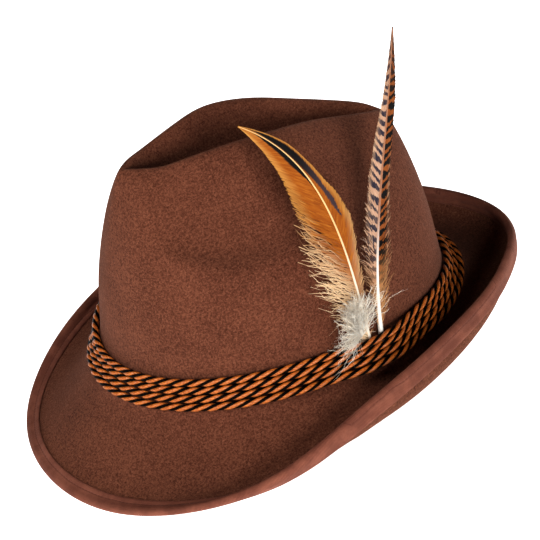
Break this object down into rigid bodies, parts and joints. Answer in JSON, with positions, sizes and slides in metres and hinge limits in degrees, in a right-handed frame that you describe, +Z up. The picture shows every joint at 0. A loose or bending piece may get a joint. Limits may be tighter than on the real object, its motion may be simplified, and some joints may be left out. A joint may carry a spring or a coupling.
{
  "type": "tyrolean hat",
  "caption": "Brown felt tyrolean hat with a creased crown, a brim dipped in front and rolled up behind, a bound edge, twisted cord band and feathers tucked in at one side.",
  "frame": {"origin": "middle of the base: centre of the bounding box in plan, at the height of the surface that the hat rests on", "axes": "+Z up, -Y to the front of the hat, +X to the wearer's left, where the feathers are"},
  "size_m": [0.2458, 0.3146, 0.203],
  "materials": {
    "felt": "brown wool felt",
    "tape": "ribbed brown binding tape",
    "cord": "twisted gold-orange and black cord",
    "hackle": "ginger feather with a cream shaft",
    "tail_feather": "barred feather",
    "down": "cream down"
  },
  "bodies": {
    "root": {"felt_body": "felt", "brim_binding": "tape", "cord_1": "cord", "cord_2": "cord", "cord_3": "cord", "cord_4": "cord", "feather_hackle": "hackle", "feather_tail": "tail_feather", "feather_down": "down"}
  },
  "joints": []
}
